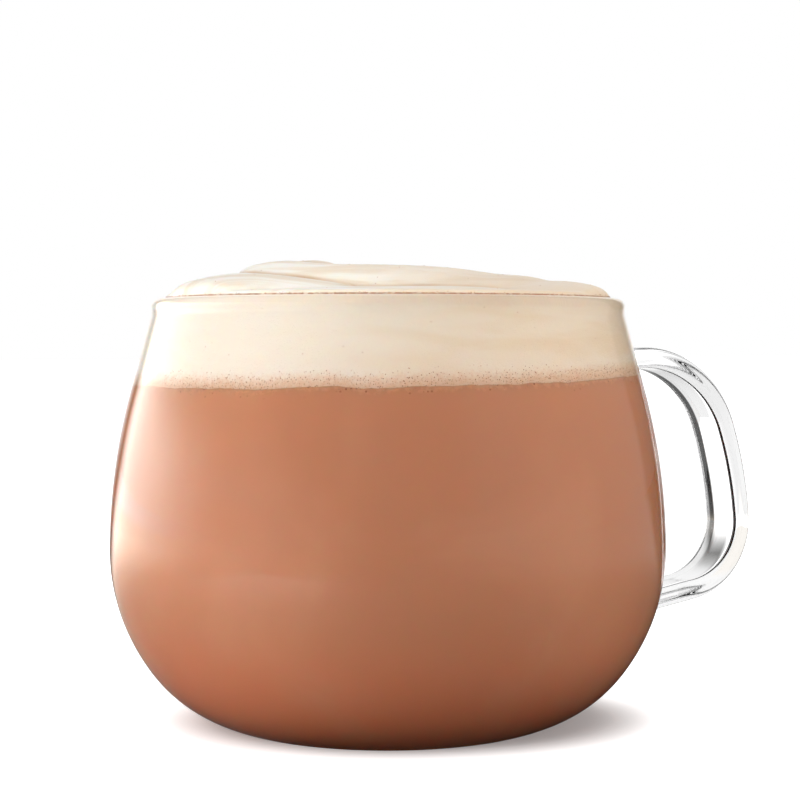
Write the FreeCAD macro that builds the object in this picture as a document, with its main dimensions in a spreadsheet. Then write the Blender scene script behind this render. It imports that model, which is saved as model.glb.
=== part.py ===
import FreeCAD, Part
import Sketcher
import math
import os

from FreeCAD import Vector

# Caffe mocha in a round glass mug with a strap handle, under a spooned heap of milk foam.
# Millimetres, +Z up. The origin is the centre of the flat foot, and the handle points along +X.

# Driving dimensions: alias, value, what it is. Lengths are millimetres, angles are degrees.
SIZES = [
    ("mug_height", 79.0, "top of the lip"),
    ("belly_radius", 52.0, "outside, at the widest ring"),
    ("belly_height", 32.6, "height of the widest ring"),
    ("corner_arc", 26.8, "outer arc between the foot and the belly"),
    ("belly_arc", 37.7, "outer arc below the widest ring"),
    ("shoulder_arc", 110.4, "outer arc above the widest ring"),
    ("neck_lean", 15.2, "inward lean of the straight neck"),
    ("wall", 2.5, "glass thickness"),
    ("base_thickness", 4.0, "glass under the drink"),
    ("floor_corner", 24.0, "inner arc between the floor and the belly"),
    ("lip_bead", 1.5, "radius of the rounded lip"),
    ("lip_flare", 3.5, "hollow arc under the lip"),
    ("strap_top", 69.9, "upper face of the strap at its upper root"),
    ("strap_reach", 79.25, "outer face of the strap at its farthest from the axis"),
    ("strap_reach_height", 34.6, "height of that farthest point"),
    ("strap_back_height", 29.7, "height of the back arc's centre"),
    ("upper_bend", 22.4, "outer arc at the top of the strap"),
    ("back_arc", 77.0, "outer arc down the back of the strap"),
    ("lower_bend", 15.7, "outer arc at the bottom of the strap"),
    ("lower_slope", 10.0, "slope of the strap below its lower bend"),
    ("strap_thickness", 4.0, "strap through"),
    ("strap_width", 11.4, "strap across"),
    ("strap_edge", 1.5, "rounding of the strap's long edges"),
    ("root_depth", 1.25, "how far into the wall the strap's ends reach"),
    ("root_fillet", 2.0, "fillet between the strap and the mug's wall"),
    ("drink_level", 63.9, "top of the drink, where the foam starts"),
    ("foam_start", 78.45, "height where the foam leaves the lip"),
    ("foam_edge", 4.0, "rounding of the foam's free edge"),
    ("foam_limit", 14.0, "slope of the cone that the heap stays under"),
    ("foam_skirt", 1.6, "height of the heap over the lip between its folds"),
]

# The folds of the heap: how far along and across it they lie, their height over the lip, half their
# length and half their width, all in millimetres, and how far they are turned, in degrees.
FOLDS = {
    "back": (-18.5, 13.2, 8.4, 20.6, 16.4, 4.0),
    "main": (-13.0, -3.7, 6.3, 30.7, 16.0, -3.0),
    "tongue": (6.0, -4.4, 6.1, 30.0, 17.0, -4.5),
    "front": (-24.5, -15.2, 4.2, 26.6, 17.7, -14.0),
    "right": (26.6, -5.4, 3.3, 20.5, 18.2, 20.0),
    "rear": (10.0, 20.0, 4.6, 30.0, 18.0, 8.0),
}
HEAP_TURN = -25.0  # the heap lies along a line turned this far from the handle's
FOLD_SHOULDER = 0.8  # below 1, a fold's sides are steeper than a paraboloid's
FOLD_BLEND = 6  # the higher, the sharper the valleys between the folds
HEAP_GRID = 29  # rows of the heap's surface, each way
HEAP_REACH = 46.0  # the surface's half width, past the lip all round

BIG = 200.0  # a tool solid's size, larger than the mug
NEAR = 0.01  # points closer than this lie on a face
ROOT_GUESS = 3.0  # about how far the strap's ends lie inside the widest ring


def make_sheet(doc):
    sheet = doc.addObject("Spreadsheet::Sheet", "Sizes")
    for row, (alias, value, meaning) in enumerate(SIZES, start=1):
        sheet.set(f"A{row}", alias)
        sheet.set(f"B{row}", str(value))
        sheet.set(f"C{row}", meaning)
        sheet.setAlias(f"B{row}", alias)
    doc.recompute()
    return sheet


class Outline:
    """A sketch on its body's XZ plane, built of lines and arcs whose sizes are bound to the sheet."""

    def __init__(self, body, name):
        plane = next(o for o in body.Origin.OriginFeatures if o.Role == "XZ_Plane")
        self.sketch = body.newObject("Sketcher::SketchObject", name)
        self.sketch.AttachmentSupport = [(plane, "")]
        self.sketch.MapMode = "FlatFace"

    def line(self, start, end):
        return self.sketch.addGeometry(Part.LineSegment(Vector(*start, 0), Vector(*end, 0)), False)

    def arc(self, centre, radius, first, last):
        """A counter-clockwise arc between two angles in degrees."""
        circle = Part.Circle(Vector(*centre, 0), Vector(0, 0, 1), radius)
        arc = Part.ArcOfCircle(circle, math.radians(first), math.radians(last))
        return self.sketch.addGeometry(arc, False)

    def circle(self, centre, radius):
        return self.sketch.addGeometry(Part.Circle(Vector(*centre, 0), Vector(0, 0, 1), radius), False)

    def tie(self, kind, *items):
        return self.sketch.addConstraint(Sketcher.Constraint(kind, *items))

    def smooth(self, *ends):
        """Joins pairs of ends, each (geometry, end), without a corner."""
        for (first, first_end), (second, second_end) in zip(ends[0::2], ends[1::2]):
            self.tie("Tangent", first, first_end, second, second_end)

    def meet(self, *ends):
        for (first, first_end), (second, second_end) in zip(ends[0::2], ends[1::2]):
            self.tie("Coincident", first, first_end, second, second_end)

    def size(self, name, kind, items, value, expression):
        """Adds a named dimension and binds it to cells of the sheet."""
        index = self.tie(kind, *items, value)
        self.sketch.renameConstraint(index, name)
        self.sketch.setExpression(f"Constraints.{name}", expression)


ORIGIN = (-1, 1)  # a sketch's own origin, as (geometry, end)
START, END, CENTRE = 1, 2, 3


def polar(centre, radius, degrees):
    angle = math.radians(degrees)
    return centre[0] + radius * math.cos(angle), centre[1] + radius * math.sin(angle)


class MugShape:
    """Where the centres of the mug's arcs lie, as the sketches' first guess."""

    def __init__(self, sheet):
        self.lean = sheet.neck_lean
        self.belly = (sheet.belly_radius - sheet.belly_arc, sheet.belly_height)
        self.shoulder = (sheet.belly_radius - sheet.shoulder_arc, sheet.belly_height)
        self.corner = self.corner_centre(sheet.belly_arc - sheet.corner_arc, sheet.corner_arc)
        inner_arc = sheet.belly_arc - sheet.wall
        self.floor = self.corner_centre(inner_arc - sheet.floor_corner,
                                        sheet.base_thickness + sheet.floor_corner)
        self.bead = self.bead_centre(sheet)
        self.flare = self.flare_centre(sheet)

    def corner_centre(self, from_belly, height):
        """The centre of an arc that touches the belly's arc and the level below it."""
        drop = self.belly[1] - height
        return self.belly[0] + math.sqrt(from_belly ** 2 - drop ** 2), height

    def belly_angle(self, centre):
        """Direction, from the belly arc's centre, of the point where a corner arc takes over."""
        return math.degrees(math.atan2(centre[1] - self.belly[1], centre[0] - self.belly[0]))

    def bead_centre(self, sheet):
        """The lip's centre: the bead is flush with the inside of the wall."""
        lean = math.radians(self.lean)
        across = self.shoulder[0] * math.cos(lean) + self.shoulder[1] * math.sin(lean)
        across += sheet.shoulder_arc - sheet.wall + sheet.lip_bead
        height = sheet.mug_height - sheet.lip_bead
        return (across - height * math.sin(lean)) / math.cos(lean), height

    def flare_centre(self, sheet):
        """The centre of the hollow arc that touches the neck's outside and the bead."""
        out = sheet.lip_flare + sheet.wall - sheet.lip_bead
        down = math.sqrt((sheet.lip_flare + sheet.lip_bead) ** 2 - out ** 2)
        return polar(polar(self.bead, out, self.lean), down, self.lean - 90)


def add_inner_wall(outline, sheet, shape):
    """The inside of the glass from the axis to the lip's bead: floor, three arcs and the neck."""
    inner_shoulder = sheet.shoulder_arc - sheet.wall
    inner_belly = sheet.belly_arc - sheet.wall
    turn = shape.belly_angle(shape.floor)
    floor = outline.line((0, sheet.base_thickness), (shape.floor[0], sheet.base_thickness))
    corner = outline.arc(shape.floor, sheet.floor_corner, -90, turn)
    belly = outline.arc(shape.belly, inner_belly, turn, 0)
    shoulder = outline.arc(shape.shoulder, inner_shoulder, 0, shape.lean)
    neck = outline.line(polar(shape.shoulder, inner_shoulder, shape.lean),
                        polar(shape.bead, sheet.lip_bead, 180 + shape.lean))
    outline.smooth((floor, END), (corner, START), (corner, END), (belly, START),
                   (belly, END), (shoulder, START), (shoulder, END), (neck, START))
    outline.tie("Horizontal", floor)
    outline.tie("PointOnObject", floor, START, -2)
    outline.tie("Horizontal", belly, CENTRE, belly, END)
    outline.size("floor_height", "DistanceY", (*ORIGIN, floor, START), sheet.base_thickness,
                 "Sizes.base_thickness")
    outline.size("floor_corner", "Radius", (corner,), sheet.floor_corner, "Sizes.floor_corner")
    outline.size("inner_belly", "Radius", (belly,), inner_belly, "Sizes.belly_arc - Sizes.wall")
    outline.size("inner_shoulder", "Radius", (shoulder,), inner_shoulder,
                 "Sizes.shoulder_arc - Sizes.wall")
    outline.size("inner_radius", "DistanceX", (*ORIGIN, belly, END), sheet.belly_radius - sheet.wall,
                 "Sizes.belly_radius - Sizes.wall")
    outline.size("inner_belly_height", "DistanceY", (*ORIGIN, belly, END), sheet.belly_height,
                 "Sizes.belly_height")
    outline.size("inner_lean", "Angle", (neck,), math.radians(90 + shape.lean),
                 "(90 + Sizes.neck_lean) * 1 deg")
    return floor, neck


def add_outer_wall(outline, sheet, shape):
    """The outside of the glass: the flat foot, three arcs, the neck and the hollow under the lip."""
    turn = shape.belly_angle(shape.corner)
    to_bead = math.degrees(math.atan2(shape.bead[1] - shape.flare[1], shape.bead[0] - shape.flare[0]))
    foot = outline.line((0, 0), (shape.corner[0], 0))
    corner = outline.arc(shape.corner, sheet.corner_arc, -90, turn)
    belly = outline.arc(shape.belly, sheet.belly_arc, turn, 0)
    shoulder = outline.arc(shape.shoulder, sheet.shoulder_arc, 0, shape.lean)
    neck = outline.line(polar(shape.shoulder, sheet.shoulder_arc, shape.lean),
                        polar(shape.flare, sheet.lip_flare, 180 + shape.lean))
    flare = outline.arc(shape.flare, sheet.lip_flare, to_bead, 180 + shape.lean)
    outline.smooth((foot, END), (corner, START), (corner, END), (belly, START),
                   (belly, END), (shoulder, START), (shoulder, END), (neck, START),
                   (neck, END), (flare, END))
    outline.meet((foot, START), ORIGIN)
    outline.tie("Horizontal", foot)
    outline.tie("Horizontal", belly, CENTRE, belly, END)
    outline.size("corner_arc", "Radius", (corner,), sheet.corner_arc, "Sizes.corner_arc")
    outline.size("belly_arc", "Radius", (belly,), sheet.belly_arc, "Sizes.belly_arc")
    outline.size("shoulder_arc", "Radius", (shoulder,), sheet.shoulder_arc, "Sizes.shoulder_arc")
    outline.size("lip_flare", "Radius", (flare,), sheet.lip_flare, "Sizes.lip_flare")
    outline.size("belly_radius", "DistanceX", (*ORIGIN, belly, END), sheet.belly_radius,
                 "Sizes.belly_radius")
    outline.size("belly_height", "DistanceY", (*ORIGIN, belly, END), sheet.belly_height,
                 "Sizes.belly_height")
    outline.size("outer_lean", "Angle", (neck,), math.radians(90 + shape.lean),
                 "(90 + Sizes.neck_lean) * 1 deg")
    return foot, flare, to_bead + 180


def add_bead(outline, sheet, shape, first):
    """The lip's bead, from a direction round to where it touches the inner neck."""
    bead = outline.arc(shape.bead, sheet.lip_bead, first, 180 + shape.lean)
    outline.size("lip_bead", "Radius", (bead,), sheet.lip_bead, "Sizes.lip_bead")
    outline.size("lip_height", "DistanceY", (*ORIGIN, bead, CENTRE), shape.bead[1],
                 "Sizes.mug_height - Sizes.lip_bead")
    return bead


def revolve(body, outline, name):
    body.Document.recompute()
    turned = body.newObject("PartDesign::Revolution", name)
    turned.Profile = outline.sketch
    turned.ReferenceAxis = (outline.sketch, ["V_Axis"])
    turned.Angle = 360
    turned.Midplane = True  # the seam is opposite the handle
    return turned


def strap_centres(sheet):
    """The centres of the strap's three bends, from the top down, and the directions between them."""
    lower = (sheet.strap_reach - sheet.lower_bend, sheet.strap_reach_height)
    drop = lower[1] - sheet.strap_back_height
    out = math.sqrt((sheet.back_arc - sheet.lower_bend) ** 2 - drop ** 2)
    back = (lower[0] - out, sheet.strap_back_height)
    upper_height = sheet.strap_top - sheet.upper_bend
    rise = upper_height - sheet.strap_back_height
    out = math.sqrt((sheet.back_arc - sheet.upper_bend) ** 2 - rise ** 2)
    upper = (back[0] + out, upper_height)
    turns = [math.degrees(math.atan2(c[1] - back[1], c[0] - back[0])) for c in (upper, lower)]
    return (upper, back, lower), turns


def add_strap_face(outline, sheet, inset):
    """One face of the strap, seen from the side: a level run, three bends and a sloping run."""
    centres, (after_upper, after_back) = strap_centres(sheet)
    radii = [sheet.upper_bend - inset, sheet.back_arc - inset, sheet.lower_bend - inset]
    low_turn = sheet.lower_slope - 90
    top_end = polar(centres[0], radii[0], 90)
    low_start = polar(centres[2], radii[2], low_turn)
    run = low_start[0] - sheet.belly_radius + ROOT_GUESS
    low_end = (low_start[0] - run, low_start[1] - run * math.tan(math.radians(sheet.lower_slope)))
    top = outline.line((sheet.belly_radius - 2 * ROOT_GUESS, top_end[1]), top_end)
    upper = outline.arc(centres[0], radii[0], after_upper, 90)
    back = outline.arc(centres[1], radii[1], after_back, after_upper)
    lower = outline.arc(centres[2], radii[2], low_turn, after_back)
    low = outline.line(low_start, low_end)
    outline.smooth((top, END), (upper, END), (upper, START), (back, END),
                   (back, START), (lower, END), (lower, START), (low, START))
    outline.tie("Horizontal", top)
    return top, upper, back, lower, low


def add_wall_middle(outline, sheet, shape):
    """Where the strap ends: guide lines inside the wall, along its neck and its lower belly."""
    depth = sheet.root_depth
    neck_start = polar(shape.shoulder, sheet.shoulder_arc - depth, shape.lean)
    neck = outline.line(neck_start, polar(neck_start, sheet.mug_height / 4, shape.lean + 90))
    belly = outline.circle(shape.belly, sheet.belly_arc - depth)
    for guide in (neck, belly):
        outline.sketch.toggleConstruction(guide)
    lean = math.radians(shape.lean)
    outline.size("guide_lean", "Angle", (neck,), math.radians(90) + lean,
                 "(90 + Sizes.neck_lean) * 1 deg")
    outline.size("guide_out", "DistanceX", (*ORIGIN, neck, START), neck_start[0],
                 "Sizes.belly_radius - Sizes.shoulder_arc"
                 " + (Sizes.shoulder_arc - Sizes.root_depth) * cos(Sizes.neck_lean * 1 deg)")
    outline.size("guide_up", "DistanceY", (*ORIGIN, neck, START), neck_start[1],
                 "Sizes.belly_height"
                 " + (Sizes.shoulder_arc - Sizes.root_depth) * sin(Sizes.neck_lean * 1 deg)")
    outline.size("guide_length", "Distance", (neck,), sheet.mug_height / 4, "Sizes.mug_height / 4")
    outline.size("guide_radius", "Radius", (belly,), sheet.belly_arc - depth,
                 "Sizes.belly_arc - Sizes.root_depth")
    outline.size("guide_centre_out", "DistanceX", (*ORIGIN, belly, CENTRE), shape.belly[0],
                 "Sizes.belly_radius - Sizes.belly_arc")
    outline.size("guide_centre_up", "DistanceY", (*ORIGIN, belly, CENTRE), shape.belly[1],
                 "Sizes.belly_height")
    return neck, belly


def size_strap(outline, sheet, outer, inner):
    (upper, _, lower), _ = strap_centres(sheet)
    for place, alias in ((1, "upper_bend"), (2, "back_arc"), (3, "lower_bend")):
        outline.size(alias, "Radius", (outer[place],), getattr(sheet, alias), f"Sizes.{alias}")
        outline.meet((outer[place], CENTRE), (inner[place], CENTRE))
    outline.size("strap_top", "DistanceY", (*ORIGIN, outer[0], START), sheet.strap_top,
                 "Sizes.strap_top")
    outline.size("inner_top", "DistanceY", (*ORIGIN, inner[0], START),
                 sheet.strap_top - sheet.strap_thickness, "Sizes.strap_top - Sizes.strap_thickness")
    outline.size("reach", "DistanceX", (*ORIGIN, outer[3], CENTRE), lower[0],
                 "Sizes.strap_reach - Sizes.lower_bend")
    outline.size("reach_height", "DistanceY", (*ORIGIN, outer[3], CENTRE), lower[1],
                 "Sizes.strap_reach_height")
    outline.size("back_height", "DistanceY", (*ORIGIN, outer[2], CENTRE), sheet.strap_back_height,
                 "Sizes.strap_back_height")
    outline.size("slope", "Angle", (outer[4],), math.radians(sheet.lower_slope - 180),
                 "(Sizes.lower_slope - 180) * 1 deg")
    outline.tie("Parallel", outer[4], inner[4])


def add_strap(body, sheet, shape):
    """The handle: a flat strap bent through three arcs, whose ends lie inside the wall."""
    outline = Outline(body, "StrapOutline")
    outer = add_strap_face(outline, sheet, 0)
    inner = add_strap_face(outline, sheet, sheet.strap_thickness)
    size_strap(outline, sheet, outer, inner)
    neck, belly = add_wall_middle(outline, sheet, shape)
    for place, end, guide in ((0, START, neck), (4, END, belly)):
        closing = outline.line(end_point(outline, outer[place], end),
                               end_point(outline, inner[place], end))
        outline.meet((closing, START), (outer[place], end), (closing, END), (inner[place], end))
        outline.tie("PointOnObject", closing, START, guide)
        outline.tie("PointOnObject", closing, END, guide)
    body.Document.recompute()
    strap = body.newObject("PartDesign::Pad", "Strap")
    strap.Profile = outline.sketch
    strap.SideType = "Symmetric"
    strap.setExpression("Length", "Sizes.strap_width")
    return strap


def end_point(outline, geometry, end):
    point = outline.sketch.getPoint(geometry, end)
    return point.x, point.y


def round_edges(body, name, base, edges, expression):
    rounded = body.newObject("PartDesign::Fillet", name)
    rounded.Base = (base, edges)
    rounded.setExpression("Radius", expression)
    return rounded


def strap_edges(shape, sheet, mug):
    """The names of the strap's long edges, and of those where its faces meet the mug's outside."""
    half = sheet.strap_width / 2
    long_edges, root_edges = [], []
    for number, edge in enumerate(shape.Edges, start=1):
        points = edge.discretize(9)
        if any(abs(p.y) > half + NEAR or p.x < 0 for p in points):
            continue
        if all(abs(outer_gap(p, sheet, mug)) < NEAR for p in points):
            root_edges.append(f"Edge{number}")
        elif all(abs(abs(p.y) - half) < NEAR for p in points):
            long_edges.append(f"Edge{number}")
    return long_edges, root_edges


def outer_gap(point, sheet, mug):
    """How far a point lies outside the mug's belly, shoulder or neck."""
    radius = math.hypot(point.x, point.y)
    if point.z < sheet.belly_height:
        return math.dist((radius, point.z), mug.belly) - sheet.belly_arc
    out = radius - mug.shoulder[0]
    up = point.z - mug.shoulder[1]
    if math.degrees(math.atan2(up, out)) < mug.lean:
        return math.hypot(out, up) - sheet.shoulder_arc
    lean = math.radians(mug.lean)
    return out * math.cos(lean) + up * math.sin(lean) - sheet.shoulder_arc


def make_mug(doc, sheet, shape):
    body = doc.addObject("PartDesign::Body", "GlassMug")
    outline = Outline(body, "GlassSection")
    foot, flare, bead_start = add_outer_wall(outline, sheet, shape)
    floor, neck = add_inner_wall(outline, sheet, shape)
    bead = add_bead(outline, sheet, shape, bead_start)
    outline.smooth((flare, START), (bead, START), (bead, END), (neck, END))
    axis = outline.line((0, sheet.base_thickness), (0, 0))
    outline.meet((axis, START), (floor, START), (axis, END), (foot, START))
    revolve(body, outline, "BlownGlass")
    doc.recompute()
    strap = add_strap(body, sheet, shape)
    doc.recompute()
    long_edges, _ = strap_edges(strap.Shape, sheet, shape)
    softened = round_edges(body, "StrapEdges", strap, long_edges, "Sizes.strap_edge")
    doc.recompute()
    _, root_edges = strap_edges(softened.Shape, sheet, shape)
    round_edges(body, "StrapRoots", softened, root_edges, "Sizes.root_fillet")
    doc.recompute()
    body.Label = "glass_mug"
    return body


def make_contents(doc, sheet, shape):
    """What the glass can hold, with a free edge over the lip and a cone that caps the heap."""
    body = doc.addObject("PartDesign::Body", "Contents")
    outline = Outline(body, "ContentsSection")
    floor, neck = add_inner_wall(outline, sheet, shape)
    rise = sheet.foam_start - shape.bead[1]
    leave = 180 - math.degrees(math.asin(rise / sheet.lip_bead))
    bead = add_bead(outline, sheet, shape, leave)
    start = polar(shape.bead, sheet.lip_bead, leave)
    centre = (start[0] - sheet.foam_edge, start[1])
    edge = outline.arc(centre, sheet.foam_edge, 0, 90 - sheet.foam_limit)
    edge_top = polar(centre, sheet.foam_edge, 90 - sheet.foam_limit)
    peak = edge_top[1] + edge_top[0] * math.tan(math.radians(sheet.foam_limit))
    cone = outline.line(edge_top, (0, peak))
    axis = outline.line((0, peak), (0, sheet.base_thickness))
    outline.smooth((bead, END), (neck, END), (edge, END), (cone, START))
    outline.meet((bead, START), (edge, START), (cone, END), (axis, START),
                 (axis, END), (floor, START))
    outline.tie("Vertical", axis)
    outline.tie("Horizontal", edge, CENTRE, edge, START)
    outline.size("foam_start", "DistanceY", (*ORIGIN, edge, START), sheet.foam_start,
                 "Sizes.foam_start")
    outline.size("foam_edge", "Radius", (edge,), sheet.foam_edge, "Sizes.foam_edge")
    outline.size("foam_limit", "Angle", (cone,), math.radians(180 - sheet.foam_limit),
                 "(180 - Sizes.foam_limit) * 1 deg")
    revolve(body, outline, "HeldVolume")
    return body


def make_below_level(doc):
    """Everything under the top of the drink."""
    below = doc.addObject("Part::Cylinder", "BelowLevel")
    below.Radius = BIG
    below.setExpression("Height", "Sizes.drink_level")
    return below


def make_mocha(doc, contents, below):
    mocha = doc.addObject("Part::Common", "Mocha")
    mocha.Base = contents
    mocha.Tool = below
    mocha.Label = "mocha"
    return mocha


def fold_height(along, across, fold):
    centre_along, centre_across, height, half_length, half_width, turn = fold
    cos, sin = math.cos(math.radians(turn)), math.sin(math.radians(turn))
    run = (along - centre_along) * cos + (across - centre_across) * sin
    side = (across - centre_across) * cos - (along - centre_along) * sin
    spread = (run / half_length) ** 2 + (side / half_width) ** 2
    return height * max(1 - spread, 0) ** FOLD_SHOULDER


def heap_height(x, y, sheet):
    """Height of the heap over the lip: a low skirt and the folds, blended."""
    turn = math.radians(HEAP_TURN)
    along = x * math.cos(turn) + y * math.sin(turn)
    across = y * math.cos(turn) - x * math.sin(turn)
    skirt = sheet.foam_skirt * (1 - 0.35 * (x * x + y * y) / HEAP_REACH ** 2)
    heights = [max(skirt, 0)] + [fold_height(along, across, fold) for fold in FOLDS.values()]
    return sum(height ** FOLD_BLEND for height in heights) ** (1 / FOLD_BLEND)


def make_under_folds(doc, sheet):
    """A block whose top is the heap's folded surface."""
    step = 2 * HEAP_REACH / (HEAP_GRID - 1)
    places = [step * i - HEAP_REACH for i in range(HEAP_GRID)]
    rows = [[Vector(x, y, sheet.mug_height + heap_height(x, y, sheet)) for y in places]
            for x in places]
    surface = Part.BSplineSurface()
    surface.interpolate(rows)
    block = doc.addObject("Part::Feature", "UnderFolds")
    block.Shape = surface.toShape().extrude(Vector(0, 0, -sheet.mug_height))
    return block


def make_foam(doc, contents, below, under_folds):
    above = doc.addObject("Part::Cut", "AboveLevel")
    above.Base = contents
    above.Tool = below
    foam = doc.addObject("Part::Common", "MilkFoam")
    foam.Base = above
    foam.Tool = under_folds
    foam.Label = "milk_foam"
    return foam


def check(doc, nodes):
    doc.recompute()
    for item in doc.Objects:
        faults = {"Invalid", "Error"} & set(item.State)
        if faults:
            raise RuntimeError(f"{item.Name} is {faults}")
        if item.isDerivedFrom("Sketcher::SketchObject") and not item.FullyConstrained:
            raise RuntimeError(f"{item.Name} isn't fully constrained")
    for node in nodes:
        if node.Shape.isNull() or not node.Shape.isValid() or len(node.Shape.Solids) != 1:
            raise RuntimeError(f"{node.Label} isn't one valid solid")


def build():
    doc = FreeCAD.newDocument("CaffeMocha")
    sheet = make_sheet(doc)
    shape = MugShape(sheet)
    mug = make_mug(doc, sheet, shape)
    contents = make_contents(doc, sheet, shape)
    below = make_below_level(doc)
    mocha = make_mocha(doc, contents, below)
    foam = make_foam(doc, contents, below, make_under_folds(doc, sheet))
    nodes = [mug, mocha, foam]
    check(doc, nodes)
    os.makedirs("parts", exist_ok=True)
    for node in nodes:
        node.Shape.exportStep(f"parts/{node.Label}.step")
        box = node.Shape.BoundBox
        print(f"{node.Label}: {node.Shape.Volume / 1000:.1f} cm3, "
              f"x {box.XMin:.2f} {box.XMax:.2f}, y {box.YMin:.2f} {box.YMax:.2f}, "
              f"z {box.ZMin:.2f} {box.ZMax:.2f}")


build()
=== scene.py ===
import bpy
import bmesh
import math
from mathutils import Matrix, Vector, noise


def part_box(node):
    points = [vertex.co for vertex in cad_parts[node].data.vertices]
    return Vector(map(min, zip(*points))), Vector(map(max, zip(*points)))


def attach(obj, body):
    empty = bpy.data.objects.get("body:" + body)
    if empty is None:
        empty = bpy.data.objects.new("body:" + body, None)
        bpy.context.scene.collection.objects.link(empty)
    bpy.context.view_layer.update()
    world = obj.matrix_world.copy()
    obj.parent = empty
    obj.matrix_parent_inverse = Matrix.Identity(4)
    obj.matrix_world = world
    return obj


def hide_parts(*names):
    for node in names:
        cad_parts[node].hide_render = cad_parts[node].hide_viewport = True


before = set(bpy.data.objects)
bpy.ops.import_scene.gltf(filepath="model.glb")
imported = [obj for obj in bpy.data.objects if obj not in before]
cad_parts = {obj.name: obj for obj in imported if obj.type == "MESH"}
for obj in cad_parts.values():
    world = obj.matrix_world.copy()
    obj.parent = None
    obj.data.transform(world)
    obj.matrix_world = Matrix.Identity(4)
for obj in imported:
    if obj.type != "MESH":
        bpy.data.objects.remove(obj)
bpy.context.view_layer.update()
print("frame loaded")

mm = 0.001  # sizes below are millimetres, meshes are metres
sharpAngle = 62  # degrees between faces, past which an edge stays crisp
mugLow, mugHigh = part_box("glass_mug")
drinkLow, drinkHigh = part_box("mocha")
foamLow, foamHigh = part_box("milk_foam")


def polar(centre, radius, degrees):
    turn = math.radians(degrees)
    return centre[0] + radius * math.cos(turn), centre[1] + radius * math.sin(turn)


def blendStep(low, high, value):
    t = min(max((value - low) / (high - low), 0.0), 1.0)
    return t * t * (3 - 2 * t)


def arcPoints(centre, radius, first, last, spacing):
    steps = max(2, math.ceil(abs(math.radians(last - first)) * radius / spacing))
    return [polar(centre, radius, first + (last - first) * i / steps) for i in range(steps + 1)]


def linePoints(start, end, spacing):
    steps = max(1, math.ceil(math.dist(start, end) / spacing))
    return [(start[0] + (end[0] - start[0]) * i / steps, start[1] + (end[1] - start[1]) * i / steps)
            for i in range(steps + 1)]


def joined(*runs):
    # one outline from runs that start where the last one ended
    points = list(runs[0])
    for run in runs[1:]:
        points += run[1:]
    return points


def newObject(name, data):
    made = bpy.data.objects.new(name, data)
    bpy.context.scene.collection.objects.link(made)
    return made


def meshPiece(name, points, faces, material):
    mesh = bpy.data.meshes.new(name)
    mesh.from_pydata([Vector(p) * mm for p in points], [], faces)
    mesh.materials.append(material)
    piece = newObject(name, mesh)
    tidy = bmesh.new()
    tidy.from_mesh(mesh)
    bmesh.ops.recalc_face_normals(tidy, faces=tidy.faces)
    tidy.to_mesh(mesh)
    tidy.free()
    mesh.shade_smooth()
    mesh.set_sharp_from_angle(angle=math.radians(sharpAngle))
    return piece


def quadStrip(first, second):
    # faces between two closed rings of vertex numbers
    count = len(first)
    return [(first[i], first[(i + 1) % count], second[(i + 1) % count], second[i]) for i in range(count)]


# the mug's outline, as on the CAD part
mugShape = {
    "height": mugHigh.z / mm,
    "bellyRadius": mugHigh.y / mm,
    "bellyHeight": 32.6,
    "cornerArc": 26.8,
    "footDrop": 0.8,  # how far the corner's arc would run on below the foot
    "footArc": 6.0,
    "bellyArc": 37.7,
    "shoulderArc": 110.4,
    "neckLean": 15.2,
    "wall": 2.5,
    "base": drinkLow.z / mm,
    "floorCorner": 24.0,
    "lipBead": 1.5,
    "lipFlare": 3.5,
    "columns": 208,
    "rowSpacing": 1.15,
    "flatSpacing": 6.0,
    "footSpacing": 0.5,
    "lipSpacing": 0.3,
}


def mugCentres(s):
    belly = (s["bellyRadius"] - s["bellyArc"], s["bellyHeight"])
    shoulder = (s["bellyRadius"] - s["shoulderArc"], s["bellyHeight"])
    lean = math.radians(s["neckLean"])

    def cornerCentre(fromBelly, height):
        return belly[0] + math.sqrt(fromBelly ** 2 - (belly[1] - height) ** 2), height

    corner = cornerCentre(s["bellyArc"] - s["cornerArc"], s["cornerArc"] - s["footDrop"])
    footRise = corner[1] - s["footArc"]
    foot = (corner[0] + math.sqrt((s["cornerArc"] - s["footArc"]) ** 2 - footRise ** 2), s["footArc"])
    floor = cornerCentre(s["bellyArc"] - s["wall"] - s["floorCorner"], s["base"] + s["floorCorner"])
    out = shoulder[0] * math.cos(lean) + shoulder[1] * math.sin(lean)
    out += s["shoulderArc"] - s["wall"] + s["lipBead"]
    beadHeight = s["height"] - s["lipBead"]
    bead = ((out - beadHeight * math.sin(lean)) / math.cos(lean), beadHeight)
    across = s["lipFlare"] + s["wall"] - s["lipBead"]
    down = math.sqrt((s["lipFlare"] + s["lipBead"]) ** 2 - across ** 2)
    flare = polar(polar(bead, across, s["neckLean"]), down, s["neckLean"] - 90)
    return {"belly": belly, "shoulder": shoulder, "corner": corner, "foot": foot,
            "floor": floor, "bead": bead, "flare": flare}


mugArcs = mugCentres(mugShape)


def direction(start, end):
    return math.degrees(math.atan2(end[1] - start[1], end[0] - start[0]))


def wallRadius(height):
    # the outer wall's radius at one height
    s, c = mugShape, mugArcs
    lean = math.radians(s["neckLean"])
    turn = math.radians(direction(c["belly"], c["corner"]))
    if height < c["belly"][1] + s["bellyArc"] * math.sin(turn):
        centre, radius = c["corner"], s["cornerArc"]
    elif height < s["bellyHeight"]:
        centre, radius = c["belly"], s["bellyArc"]
    elif height < s["bellyHeight"] + s["shoulderArc"] * math.sin(lean):
        centre, radius = c["shoulder"], s["shoulderArc"]
    else:
        top = polar(c["shoulder"], s["shoulderArc"], s["neckLean"])
        return top[0] - (height - top[1]) * math.tan(lean)
    return centre[0] + math.sqrt(radius ** 2 - (height - centre[1]) ** 2)


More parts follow.
